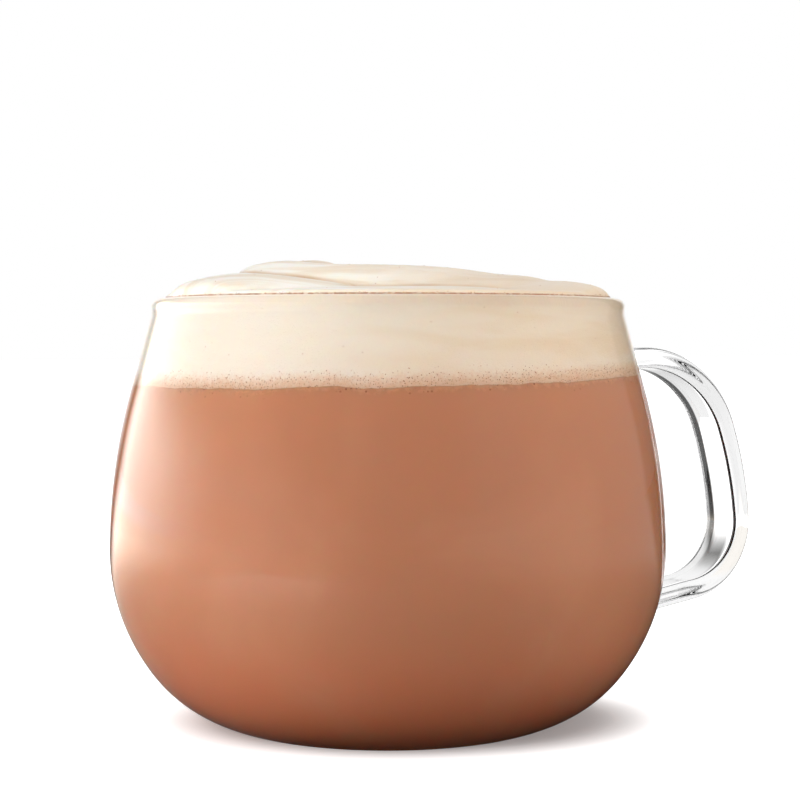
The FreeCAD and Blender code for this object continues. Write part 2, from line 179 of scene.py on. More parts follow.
def insideOutline(reach, spacing):
    # the inner wall from the floor's centre to the lip's bead, moved out into the glass by reach
    s, c = mugShape, mugArcs
    turn = direction(c["belly"], c["floor"])
    floorHeight = s["base"] - reach
    neckTop = polar(c["bead"], s["lipBead"] - reach, 180 + s["neckLean"])
    shoulderRadius = s["shoulderArc"] - s["wall"] + reach
    return joined(
        linePoints((0, floorHeight), (c["floor"][0], floorHeight), s["flatSpacing"]),
        arcPoints(c["floor"], s["floorCorner"] + reach, -90, turn, spacing),
        arcPoints(c["belly"], s["bellyArc"] - s["wall"] + reach, turn, 0, spacing),
        arcPoints(c["shoulder"], shoulderRadius, 0, s["neckLean"], spacing),
        linePoints(polar(c["shoulder"], shoulderRadius, s["neckLean"]), neckTop, spacing))


def outsideOutline(spacing):
    # the outer wall from the foot's centre to the bead, then over the bead to the inner wall
    s, c = mugShape, mugArcs
    turn = direction(c["belly"], c["corner"])
    footTurn = direction(c["corner"], c["foot"])
    toBead = direction(c["flare"], c["bead"])
    lean = s["neckLean"]
    neckFoot = polar(c["shoulder"], s["shoulderArc"], lean)
    neckTop = polar(c["flare"], s["lipFlare"], 180 + lean)
    return joined(
        linePoints((0, 0), (c["foot"][0], 0), s["flatSpacing"]),
        arcPoints(c["foot"], s["footArc"], -90, footTurn, s["footSpacing"]),
        arcPoints(c["corner"], s["cornerArc"], footTurn, turn, spacing),
        arcPoints(c["belly"], s["bellyArc"], turn, 0, spacing),
        arcPoints(c["shoulder"], s["shoulderArc"], 0, lean, spacing),
        linePoints(neckFoot, neckTop, spacing),
        arcPoints(c["flare"], s["lipFlare"], 180 + lean, toBead, s["lipSpacing"]),
        arcPoints(c["bead"], s["lipBead"], toBead - 180, 180 + lean, s["lipSpacing"]))


def latheRings(profiles):
    # one ring of points for each row, where profiles[column][row] is (radius, height)
    columns = len(profiles)
    points, rings = [], []
    for row in range(len(profiles[0])):
        if profiles[0][row][0] < 1e-6:
            rings.append([len(points)] * columns)
            points.append((0, 0, profiles[0][row][1]))
            continue
        rings.append(list(range(len(points), len(points) + columns)))
        for column in range(columns):
            turn = 2 * math.pi * column / columns
            radius, height = profiles[column][row]
            points.append((radius * math.cos(turn), radius * math.sin(turn), height))
    return points, rings


strapShape = {
    "top": 69.9,
    "reach": mugHigh.x / mm,
    "reachHeight": 34.6,
    "backHeight": 29.7,
    "upperBend": 22.4,
    "backArc": 77.0,
    "lowerBend": 15.7,
    "lowerSlope": 10.0,
    "thickness": 4.0,
    "width": 11.4,
    "edge": 1.5,
    "rootFillet": 2.2,
    "edgeSteps": 4,
    "halfColumns": 8,  # the opening left in the wall's mesh for each root
    "rows": 12,
    "openBeyond": 40,  # those openings lie in rows of the wall wider than this
    "openBelow": 76,  # and lower than this
    "spacing": 0.8,
}


def strapMiddle():
    # the strap's middle line: places (out, up) with the way it runs there, in degrees
    s = strapShape
    half = s["thickness"] / 2
    lower = (s["reach"] - s["lowerBend"], s["reachHeight"])
    drop = lower[1] - s["backHeight"]
    back = (lower[0] - math.sqrt((s["backArc"] - s["lowerBend"]) ** 2 - drop ** 2), s["backHeight"])
    upperHeight = s["top"] - s["upperBend"]
    rise = upperHeight - s["backHeight"]
    upper = (back[0] + math.sqrt((s["backArc"] - s["upperBend"]) ** 2 - rise ** 2), upperHeight)
    turns = [90, direction(back, upper), direction(back, lower), s["lowerSlope"] - 90]
    line = []
    bends = ((upper, s["upperBend"]), (back, s["backArc"]), (lower, s["lowerBend"]))
    for (centre, radius), first, last in zip(bends, turns[:-1], turns[1:]):
        radius -= half
        steps = math.ceil(math.radians(first - last) * radius / s["spacing"])
        start = 0 if not line else 1
        for i in range(start, steps + 1):
            turn = first + (last - first) * i / steps
            line.append((polar(centre, radius, turn), turn))
    return line


def strapRing(across, up):
    # the strap's rounded section as (sideways, outward) places: across points on each broad side
    # and up points on each narrow one, counted from the middle of one rounded edge to the next
    s = strapShape
    halfWidth, halfThick, edge = s["width"] / 2, s["thickness"] / 2, s["edge"]
    bend = s["edgeSteps"]

    def side(length, count):
        places = []
        for i in range(count):
            if i < bend:
                turn = math.radians(45 + 45 * i / bend)
                places.append((edge - edge * math.cos(turn), edge - edge * math.sin(turn)))
            elif i <= count - bend:
                places.append((edge + (length - 2 * edge) * (i - bend) / (count - 2 * bend), 0.0))
            else:
                turn = math.radians(45 * (i - count + bend) / bend)
                places.append((length - edge + edge * math.sin(turn), edge - edge * math.cos(turn)))
        return places

    broad, narrow = side(s["width"], across), side(s["thickness"], up)
    ring = [(run - halfWidth, depth - halfThick) for run, depth in broad]
    ring += [(halfWidth - depth, run - halfThick) for run, depth in narrow]
    ring += [(halfWidth - run, halfThick - depth) for run, depth in broad]
    ring += [(depth - halfWidth, halfThick - run) for run, depth in narrow]
    return ring


def onWall(point):
    # the wall's nearest place at the same height, straight out from the axis
    turn = math.atan2(point[1], point[0])
    radius = wallRadius(point[2])
    return radius * math.cos(turn), radius * math.sin(turn), point[2]


def rootRings(middle, turn, wayOut, ring):
    # rings round one end of the strap: two on the wall, then up the fillet to the strap
    fillet = strapShape["rootFillet"]
    outward = math.radians(turn)
    run = Vector((math.cos(outward + wayOut), 0, math.sin(outward + wayOut)))
    wallReaches = (1.9, 1.4)
    bendSteps = (0.0, 0.16, 0.32, 0.48, 0.64, 0.82, 1.0)
    rings = [[] for _ in wallReaches + bendSteps]
    for number, (sideways, lift) in enumerate(ring):
        along = Vector(ring[(number + 1) % len(ring)]) - Vector(ring[number - 1])
        away = Vector((along.y, -along.x)).normalized()
        start = Vector((middle[0] + lift * math.cos(outward), sideways,
                        middle[1] + lift * math.sin(outward)))
        near, far = 0.0, 25.0
        for _ in range(40):  # where this line of the strap meets the wall
            half = (near + far) / 2
            place = start - run * half
            if math.hypot(place.x, place.y) > wallRadius(place.z):
                near = half
            else:
                far = half
        meet = start - run * near
        side = Vector((away.y * math.cos(outward), away.x, away.y * math.sin(outward)))
        for index, reach in enumerate(wallReaches):
            rings[index].append(onWall(meet + side * fillet * reach))
        foot, top = Vector(onWall(meet + side * fillet)), meet + run * fillet
        for index, t in enumerate(bendSteps, start=len(wallReaches)):
            rings[index].append((1 - t) ** 2 * foot + 2 * t * (1 - t) * meet + t * t * top)
    return rings


def makeMug(material):
    s, strap = mugShape, strapShape
    outside = outsideOutline(s["rowSpacing"])
    outline = outside + insideOutline(0.0, 2 * s["rowSpacing"])[-2::-1]
    columns, half, tall = s["columns"], strap["halfColumns"], strap["rows"]
    points, rows = latheRings([outline] * columns)
    middle = strapMiddle()
    ring = strapRing(2 * half, tall)
    wallRows = [row for row, (radius, height) in enumerate(outside)
                if radius > strap["openBeyond"] and height < strap["openBelow"]]
    chains, openings = [], []
    for (place, turn), wayOut in ((middle[0], -math.pi / 2), (middle[-1], math.pi / 2)):
        rings = rootRings(place, turn, wayOut, ring)
        heights = [p[2] for p in rings[0]]
        centre = (min(heights) + max(heights)) / 2
        nearest = min(wallRows, key=lambda row: abs(outside[row][1] - centre))
        low, high = nearest - tall // 2, nearest + tall - tall // 2
        openings.append(range(low, high))
        first, last, step = (low, high, 1) if wayOut < 0 else (high, low, -1)
        edge = [rows[first][column] for column in range(-half, half)]
        edge += [rows[row][half] for row in range(first, last, step)]
        edge += [rows[last][-column] for column in range(-half, half)]
        edge += [rows[row][-half] for row in range(last, first, -step)]
        chain = [edge]
        for placed in rings:
            chain.append(list(range(len(points), len(points) + len(ring))))
            points += placed
        chains.append(chain)
    sweep = []
    for place, turn in middle:
        outward = math.radians(turn)
        sweep.append(list(range(len(points), len(points) + len(ring))))
        points += [(place[0] + lift * math.cos(outward), sideways, place[1] + lift * math.sin(outward))
                   for sideways, lift in ring]
    faces = []
    for row in range(len(outline) - 1):
        for column in range(columns):
            besideStrap = column < half or column >= columns - half
            if besideStrap and any(row in opening for opening in openings):
                continue
            after = (column + 1) % columns
            corners = [rows[row][column], rows[row][after], rows[row + 1][after], rows[row + 1][column]]
            faces.append([v for i, v in enumerate(corners) if v != corners[i - 1]])
    whole = chains[0] + sweep + chains[1][::-1]
    for first, second in zip(whole[:-1], whole[1:]):
        faces += quadStrip(first, second)
    return meshPiece("glassMug", points, faces, material)


# the drink fills the mug up to a slightly uneven line
drinkShape = {
    "level": drinkHigh.z / mm - 0.45,
    "levelTilt": 0.02,
    "tiltTowards": -25,  # degrees round from the handle
    "lineRadius": 43,
    "levelWaves": 0.42,
    "waves": ((3.2, 1.0), (11, 0.5), (34, 0.3)),  # how close together, and each one's share
    "plainBelow": 3.5,  # lower than this under the level, rows are the same all round
    "lineRows": (0.3, 0.6, 0.8, 1.0),  # from there up to the line, as shares of the way
    "edgeIn": 1.5,
    "edgeDown": 0.3,
    "topDown": 0.4,  # how far the hidden top lies below the level
    "hiddenRows": (0.8, 0.45, 0),  # shares of the radius, where drink and froth hide each other
    "reachIntoGlass": 0.15,
    "columns": 480,
    "rowSpacing": 1.6,
}


def drinkLine(turn):
    # height of the line between drink and froth where they touch the glass
    s = drinkShape
    tilt = s["levelTilt"] * s["lineRadius"] * math.cos(turn - math.radians(s["tiltTowards"]))
    place = Vector((math.cos(turn), math.sin(turn), 0))
    waves = sum(share * noise.noise(place * scale) for scale, share in s["waves"])
    return s["level"] + tilt + s["levelWaves"] * waves


def insideRadius(outline, height):
    for (lowRadius, lowHeight), (highRadius, highHeight) in zip(outline[:-1], outline[1:]):
        if lowHeight <= height <= highHeight and highHeight > lowHeight:
            share = (height - lowHeight) / (highHeight - lowHeight)
            return lowRadius + (highRadius - lowRadius) * share
    return outline[-1][0]


def latheRows(profiles):
    points, rings = latheRings(profiles)
    faces = []
    for first, second in zip(rings[:-1], rings[1:]):
        for corners in quadStrip(first, second):
            faces.append([v for i, v in enumerate(corners) if v != corners[i - 1]])
    return points, faces


def makeDrink(material):
    s = drinkShape
    outline = insideOutline(s["reachIntoGlass"], s["rowSpacing"])
    lower = [place for place in outline if place[1] < s["level"] - s["plainBelow"]]
    profiles, lines = [], []
    for column in range(s["columns"]):
        line = drinkLine(2 * math.pi * column / s["columns"])
        profile = list(lower)
        for share in s["lineRows"]:
            height = lower[-1][1] + (line - lower[-1][1]) * share
            profile.append((insideRadius(outline, height), height))
        rim = profile[-1][0]
        profile.append((rim - s["edgeIn"], line - s["edgeDown"]))
        profile += [(rim * share, s["level"] - s["topDown"]) for share in s["hiddenRows"]]
        profiles.append(profile)
        lines.append(line)
    points, faces = latheRows(profiles)
    piece = meshPiece("mochaDrink", points, faces, material)
    belowLine = []
    for row, place in enumerate(profiles[0]):
        for column in range(1 if place[0] < 1e-6 else s["columns"]):
            belowLine.append(lines[column] - profiles[column][row][1])
    storeAttribute(piece, "belowLine", "FLOAT", belowLine)
    return piece


# the froth's layer behind the glass, and the heap that stands over the lip
foamShape = {
    "start": 78.45,  # height where the froth leaves the lip
    "edge": 4.0,  # radius of its free edge
    "edgeSteps": 14,
    "limit": 14.0,  # degrees, the slope above that edge
    "skirt": 1.25,
    "skirtFall": 0.35,  # how much thinner the skirt is at skirtRadius
    "skirtRadius": 46,
    "shoulder": 0.6,
    "meeting": 9.0,  # higher is a sharper valley between two folds
    "heapTurn": -25,
    "bend": 3.2,  # how far the folds wander sideways
    "bendNoise": (24, 20, 3.1),  # each noise's size along and across the folds, and its layer
    "crownStainShade": 0.6,
    "crownEdge": (-0.1, 0.5),  # how far the crown stands over the rest where its stain and painted shade begin and are full
    "crownTop": (6.3, 7.2),  # heights over the lip
    "crownTopShare": 0.8,
    "stainShadeRidge": (0.9, 2.0),  # lower ridges have no cocoa stain and no painted shade behind them
    "stainShadeDepth": 0.9,  # how far above the ridge it ends
    "stainShadeUnder": 0.5,  # how deep the fold must lie under the surface for full stain and painted shade
    "stainShadeRear": 1.5,  # times the fold's reach to the rear, where the stain and painted shade end
    "stainShadeEven": 0.85,
    "stainShadeUneven": 0.6,
    "stainShadeNoise": (7, 4, 4.4),
    "swirlLength": 30,
    "swirlWander": 0.2,
    "swirlNoise": (18, 14, 8.2),
    "ripple": 0.075,
    "rippleFrom": (0.8, 3.0),  # heights between which ripples grow
    "rippleNoise": (1, 2.6, 1.7),
    "fineShare": 0.4,
    "fineSwirl": 1.6,
    "fineNoise": (1, 1.1, 5.3),
    "ringSpacing": 0.43,
    "wallSpacing": 1.0,
    "beadSpacing": 0.35,
    "wayRadius": 42,  # the radius at which streaks behind the glass have their true length
    "insideDrink": 0.04,  # the froth reaches this much less into the glass than the drink
    "behindDrink": 2.5,  # how far the froth's skin runs on behind the drink's
    "brim": 1.6,  # rounding where the heap's top meets its free edge
    "lipBead": mugShape["lipBead"],
    "columns": 480,
    "wallRows": 16,
}

# along, across, height over the lip, reach to the left, right, front and rear, turn,
# then how square its left and right ends are
foamFolds = {
    "crown": (-16, 11, 8.05, 14, 13, 12, 14, 2, 2.2, 2.0),
    "shoulder": (-22.5, 1, 7.15, 7.2, 18, 13, 13, -2, 3.0, 2.0),
    "main": (-20, -2, 6.55, 9.3, 47, 14, 15, -2, 3.0, 4.0),
    "tongue": (12, -4, 4.5, 28, 19.8, 15, 15, -1, 2.2, 6.0),
    "front": (-27, -15.5, 4.55, 13.5, 26, 15, 12, -6, 2.2, 1.3),
    "long": (2, -22, 1.85, 26, 24, 12, 10, -3, 3.0, 3.0),
    "right": (30.5, -8, 3.2, 16, 11, 16, 16, 10, 2.2, 2.2),
    "lip": (-10, -33, 1.25, 16, 20, 6, 6, 3, 2.2, 2.2),
    "rear": (12, 20, 4.6, 28, 24, 16, 15, 10, 2.2, 2.2),
    "rearLeft": (-20, 26, 3.9, 20, 24, 12, 10, -14, 2.2, 2.2),
}


def capHeight(radius):
    # the froth's free edge, and the slope that the heap stays under
    s = foamShape
    start = mugArcs["bead"][0] - math.sqrt(s["lipBead"] ** 2 - (s["start"] - mugArcs["bead"][1]) ** 2)
    edgeTop = polar((start - s["edge"], s["start"]), s["edge"], 90 - s["limit"])
    if radius > edgeTop[0]:
        return s["start"] + math.sqrt(max(s["edge"] ** 2 - (radius - start + s["edge"]) ** 2, 0))
    return edgeTop[1] + (edgeTop[0] - radius) * math.tan(math.radians(s["limit"]))


def heapNoise(along, across, sizes):
    return noise.noise(Vector((along / sizes[0], across / sizes[1], sizes[2])))


def heapPlace(x, y):
    # height of the heap at one place, its cocoa stain with painted shade, and its way along and across the
    # folds
    s = foamShape
    heap = math.radians(s["heapTurn"])
    along = x * math.cos(heap) + y * math.sin(heap)
    across = y * math.cos(heap) - x * math.sin(heap)
    bend = s["bend"] * heapNoise(along, across, s["bendNoise"])
    folds = []
    for foldAlong, foldAcross, height, left, right, front, rear, turn, squareLeft, squareRight \
            in foamFolds.values():
        lean = math.radians(turn)
        out, side = along - foldAlong, across + bend - foldAcross
        u = out * math.cos(lean) + side * math.sin(lean)
        v = side * math.cos(lean) - out * math.sin(lean)
        ends = 1 - (abs(u) / left) ** squareLeft if u < 0 else 1 - (u / right) ** squareRight
        ridge = height * max(ends, 0) ** s["shoulder"]
        here = height * max(ends - (v / (front if v < 0 else rear)) ** 2, 0) ** s["shoulder"]
        folds.append((here, ridge, v, rear))
    low = s["skirt"] * (1 - s["skirtFall"] * (x * x + y * y) / s["skirtRadius"] ** 2)
    height = (low ** s["meeting"] + sum(fold[0] ** s["meeting"] for fold in folds)) ** (1 / s["meeting"])
    # cocoa stain and painted shade: on the crown and the heap's top, and in the valley behind each fold, a
    # little up the next one
    crown = folds[0][0] - max(fold[0] for fold in folds[1:])
    onTop = s["crownTopShare"] * blendStep(*s["crownTop"], height)
    stainShade = s["crownStainShade"] * max(blendStep(*s["crownEdge"], crown), onTop)
    for here, ridge, v, rear in folds:
        if v > 0 and ridge > s["stainShadeRidge"][0]:
            low = blendStep(s["stainShadeDepth"], 0.0, height - ridge)
            behind = blendStep(0.0, s["stainShadeUnder"], height - here)
            behind *= blendStep(s["stainShadeRear"] * rear, rear, v)
            stainShade = max(stainShade, low * behind * blendStep(*s["stainShadeRidge"], ridge))
    stainShade *= s["stainShadeEven"] + s["stainShadeUneven"] * heapNoise(along, across, s["stainShadeNoise"])
    swirl = along / s["swirlLength"] + s["swirlWander"] * heapNoise(along, across, s["swirlNoise"])
    ripple = heapNoise(swirl, across, s["rippleNoise"])
    ripple += s["fineShare"] * heapNoise(swirl * s["fineSwirl"], across, s["fineNoise"])
    height += s["ripple"] * ripple * blendStep(*s["rippleFrom"], height)
    return height, stainShade, along, across + bend


def makeFoam(material):
    s = foamShape
    reach = drinkShape["reachIntoGlass"] - s["insideDrink"]
    wall = insideOutline(reach, s["wallSpacing"])
    bead = mugArcs["bead"]
    start = polar(bead, s["lipBead"], 180 - math.degrees(math.asin((s["start"] - bead[1]) / s["lipBead"])))
    overBead = arcPoints(bead, s["lipBead"] - reach, 180 + mugShape["neckLean"],
                         direction(bead, start), s["beadSpacing"])
    edgeTurn = math.radians(90 - s["limit"])
    edgeRadii = [start[0] - s["edge"] * (1 - math.cos(edgeTurn * i / s["edgeSteps"]))
                 for i in range(s["edgeSteps"] + 1)]
    count = round(edgeRadii[-1] / s["ringSpacing"])
    heapRadii = edgeRadii + [edgeRadii[-1] * (1 - i / count) for i in range(1, count + 1)]
    profiles, lines, heaps = [], [], []
    for column in range(s["columns"]):
        turn = 2 * math.pi * column / s["columns"]
        line = drinkLine(turn)
        foot = drinkShape["level"] - s["behindDrink"]
        rim = insideRadius(wall, foot)
        profile = [(rim * share, foot) for share in reversed(drinkShape["hiddenRows"])]
        for i in range(s["wallRows"]):
            height = foot + (wall[-1][1] - foot) * i / s["wallRows"]
            profile.append((insideRadius(wall, height), height))
        profile += overBead
        places = []
        for radius in heapRadii:
            x, y = radius * math.cos(turn), radius * math.sin(turn)
            height, crease, along, across = heapPlace(x, y)
            free = mugShape["height"] + height
            cap = capHeight(radius)
            soft = max(s["brim"] - abs(free - cap), 0) / s["brim"]
            profile.append((radius, min(free, cap) - soft * soft * s["brim"] / 4))
            places.append((crease, along, across))
        profiles.append(profile)
        lines.append(line)
        heaps.append(places)
    points, faces = latheRows(profiles)
    piece = meshPiece("milkFoam", points, faces, material)
    rows = len(profiles[0])
    under = rows - len(heapRadii)
    creases, ways = [], []
    for row in range(rows):
        for column in range(1 if profiles[0][row][0] < 1e-6 else s["columns"]):
            heap = heaps[column][row - under] if row >= under else (0.0, 0.0, 0.0)
            turn = 2 * math.pi * column / s["columns"]
            behindGlass = (turn * s["wayRadius"], profiles[column][row][1])
            wayRound = (heap[1], heap[2]) if row >= under else behindGlass
            creases.append(heap[0])
            ways.append((wayRound[0], wayRound[1], profiles[column][row][1] - lines[column]))
    storeAttribute(piece, "bubbly", "FLOAT", [bubblyPlace(way[2], vertex.co.z / mm)
                                              for way, vertex in zip(ways, piece.data.vertices)])
    storeAttribute(piece, "crease", "FLOAT", creases)
    storeAttribute(piece, "foldWay", "FLOAT_VECTOR", ways)
    return piece


bubbleShape = {
    "perSquareMetre": 6.5e6,
    "smallest": 0.04,  # radius
    "largest": 0.11,
    "lineFrom": (-0.15, 0.1),
    "lineBand": (3.0, 0.3),  # how far above the drink's line they end, and are thickest
    "rimHeight": mugShape["height"] + 0.15,
    "rimFrom": (-0.35, -0.1),  # about that height
    "rimTo": (0.3, 0.05),
    "rimShare": 0.8,
    "elsewhere": 0.003,
    "seed": 7,
}


def bubblyPlace(aboveLine, height):
    # how thickly bubbles sit: above the drink's line, and where the heap meets the rim
    s = bubbleShape
    atLine = blendStep(*s["lineFrom"], aboveLine) * blendStep(*s["lineBand"], aboveLine)
    atRim = blendStep(*[s["rimHeight"] + step for step in s["rimFrom"]], height)
    atRim *= blendStep(*[s["rimHeight"] + step for step in s["rimTo"]], height)
    return max(atLine, s["rimShare"] * atRim, s["elsewhere"])


def storeAttribute(piece, name, kind, values):
    attribute = piece.data.attributes.new(name, kind, "POINT")
    for place, value in zip(attribute.data, values):
        if kind == "FLOAT":
            place.value = value
        else:
            place.vector = value


def newMaterial(name):
    material = bpy.data.materials.new(name)
    material.use_nodes = True
    tree = material.node_tree
    return material, tree, tree.nodes["Principled BSDF"]


def addNode(tree, kind, inputs=None, **settings):
    node = tree.nodes.new(kind)
    for name, value in settings.items():
        setattr(node, name, value)
    for name, value in (inputs or {}).items():
        if hasattr(value, "is_output"):
            tree.links.new(value, node.inputs[name])
        else:
            node.inputs[name].default_value = value
    return node


def mixColour(tree, factor, first, second):
    return addNode(tree, "ShaderNodeMix", {0: factor, 6: first, 7: second}, data_type="RGBA").outputs[2]


def mixValue(tree, factor, first, second):
    return addNode(tree, "ShaderNodeMix", {0: factor, 2: first, 3: second}, data_type="FLOAT").outputs[0]


def mathNode(tree, operation, first, second=0.0):
    return addNode(tree, "ShaderNodeMath", {0: first, 1: second}, operation=operation).outputs[0]


def timesNode(tree, *factors):
    result = factors[0]
    for factor in factors[1:]:
        result = mathNode(tree, "MULTIPLY", result, factor)
    return result


def rampNode(tree, factor, low, high, lowTo=0.0, highTo=1.0):
    inputs = {"Value": factor, "From Min": low, "From Max": high, "To Min": lowTo, "To Max": highTo}
    return addNode(tree, "ShaderNodeMapRange", inputs, interpolation_type="SMOOTHSTEP").outputs[0]


def objectPlace(tree):
    return addNode(tree, "ShaderNodeTexCoord").outputs["Object"]


def readAttribute(tree, name, output="Fac"):
    return addNode(tree, "ShaderNodeAttribute", attribute_name=name).outputs[output]


def axesOf(tree, vector):
    return addNode(tree, "ShaderNodeSeparateXYZ", {"Vector": vector}).outputs


def noiseNode(tree, place, scale, detail, distortion=0.0):
    inputs = {"Vector": place, "Scale": scale, "Detail": detail, "Distortion": distortion}
    return addNode(tree, "ShaderNodeTexNoise", inputs).outputs["Fac"]


def lengthNode(tree, vector):
    return addNode(tree, "ShaderNodeVectorMath", {0: vector}, operation="LENGTH").outputs["Value"]


def facingCamera(tree, way):
    # turned about the axis so that X runs to the camera's right
    inputs = {"Vector": way, "Angle": math.radians(cameraView["turn"])}
    return addNode(tree, "ShaderNodeVectorRotate", inputs, rotation_type="Z_AXIS").outputs[0]


def colour(red, green, blue):
    # a colour as a paint chart gives it, 0 to 255, made linear
    def linear(value):
        value /= 255
        return value / 12.92 if value <= 0.04045 else ((value + 0.055) / 1.055) ** 2.4
    return linear(red), linear(green), linear(blue), 1.0


def frothSpeckGroup():
    # tiny round bubbles seen against glass: a mask of their middles and a height for bump
    tree = bpy.data.node_groups.new("frothSpecks", "ShaderNodeTree")
    for name, kind, value in (("Size", "NodeSocketFloat", 0.5), ("Share", "NodeSocketFloat", 0.3)):
        socket = tree.interface.new_socket(name, in_out="INPUT", socket_type=kind)
        socket.default_value = value
    for name in ("Mask", "Height"):
        tree.interface.new_socket(name, in_out="OUTPUT", socket_type="NodeSocketFloat")
    inside = tree.nodes.new("NodeGroupInput")
    out = tree.nodes.new("NodeGroupOutput")
    place = objectPlace(tree)
    scale = mathNode(tree, "DIVIDE", 1000.0, inside.outputs["Size"])
    cells = addNode(tree, "ShaderNodeTexVoronoi", {"Vector": place, "Scale": scale, "Randomness": 1.0})
    chosen = addNode(tree, "ShaderNodeSeparateColor", {"Color": cells.outputs["Color"]}).outputs[0]
    kept = mathNode(tree, "LESS_THAN", chosen, inside.outputs["Share"])
    dot = rampNode(tree, cells.outputs["Distance"], 0.12, 0.36, 1.0, 0.0)
    tree.links.new(timesNode(tree, dot, kept), out.inputs["Mask"])
    tree.links.new(timesNode(tree, dot, -1.0), out.inputs["Height"])
    return tree


frothSpecks = frothSpeckGroup()


def specks(tree, size, share):
    node = tree.nodes.new("ShaderNodeGroup")
    node.node_tree = frothSpecks
    node.inputs["Size"].default_value = size
    node.inputs["Share"].default_value = share
    return node.outputs


drinkFinish = {
    "body": colour(196, 137, 104),
    # redder towards the bottom: settled chocolate, and painted bounce light that lifts its red
    "bottomRed": colour(214, 130, 94),
    "bottomRedHeights": (0.028, 0.003),
    "light": colour(206, 150, 116),
    "lightScale": 38.0,
    "edge": colour(212, 152, 116),  # just under the froth
    "edgeDepth": 0.9,
    "edgeScale": 900.0,
    "speck": colour(120, 62, 40),
    "speckSize": 0.7,
    "speckShare": 0.22,
    "speckDepths": (0.2, 2.2),
    "roughness": 0.55,
    "shine": 0.05,
    "scatter": 0.8,
    "scatterColours": (1.0, 0.38, 0.16),
    "scatterReach": 0.003,
}


def setMilky(shader, s):
    # light sinks into milk and comes out again, redder the further it goes
    shader.inputs["Specular IOR Level"].default_value = s["shine"]
    shader.inputs["Subsurface Weight"].default_value = s["scatter"]
    shader.inputs["Subsurface Radius"].default_value = s["scatterColours"]
    shader.inputs["Subsurface Scale"].default_value = s["scatterReach"]


def drinkMaterial():
    s = drinkFinish
    material, tree, shader = newMaterial("mochaWithMilk")
    place = objectPlace(tree)
    height = axesOf(tree, place)["Z"]
    below = readAttribute(tree, "belowLine")
    wide = noiseNode(tree, place, s["lightScale"], 3.0, 0.6)
    fine = noiseNode(tree, place, s["edgeScale"], 2.0)
    # settled chocolate and painted bounce light: redder towards the bottom
    bottomRedMask = rampNode(tree, height, *s["bottomRedHeights"])
    base = mixColour(tree, bottomRedMask, s["body"], s["bottomRed"])
    base = mixColour(tree, rampNode(tree, wide, 0.45, 0.75, 0.0, 0.5), base, s["light"])
    ragged = mathNode(tree, "ADD", below, rampNode(tree, fine, 0.3, 0.7, -0.5, 0.5))
    edge = rampNode(tree, ragged, 0.0, s["edgeDepth"], 0.8, 0.0)
    base = mixColour(tree, edge, base, s["edge"])
    dots = specks(tree, s["speckSize"], s["speckShare"])["Mask"]
    nearLine = rampNode(tree, below, *s["speckDepths"], 0.7, 0.0)
    base = mixColour(tree, timesNode(tree, dots, nearLine), base, s["speck"])
    tree.links.new(base, shader.inputs["Base Color"])
    shader.inputs["Roughness"].default_value = s["roughness"]
    setMilky(shader, s)
    return material


foamFinish = {
    "pale": colour(241, 232, 218),  # painted light: the layer behind the glass, paler on the left
    "tan": colour(232, 211, 182),  # painted shade: and tan on the right
    "white": colour(246, 240, 230),
    "rightWay": (0.904, -0.428, 0.0),  # from the painted-light pale side of the layer towards the painted-shade tan one
    "shaded": colour(222, 202, 177),  # painted shade: the heap's lower end, darker and browner
    "stainShade": colour(200, 163, 122),  # cocoa stain and painted shade in the folds' valleys and on the crown
    "tide": colour(160, 112, 78),  # the thin line where the heap meets the rim
    "edge": colour(226, 184, 152),  # where the drink has soaked in
    "speck": colour(176, 118, 84),
    "speckSize": 0.6,
    "speckShare": 0.16,
    "speckHeights": (0.3, 3.5),  # over the drink's line
    "heapHeights": (0.0785, 0.0795),  # where the layer ends and the heap starts
    "streakScales": (0.055, 0.26, 0.12),
    "layerStreaks": 0.35,  # how strong the streaks stay behind the glass
    "fineScale": 1300.0,
    "bubbleSize": 0.45,
    "bump": 0.25,
    "bumpDepth": 0.00012,
    "shine": 0.35,
    "scatter": 0.7,
    "scatterColours": (1.0, 0.7, 0.45),
    "scatterReach": 0.0022,
}


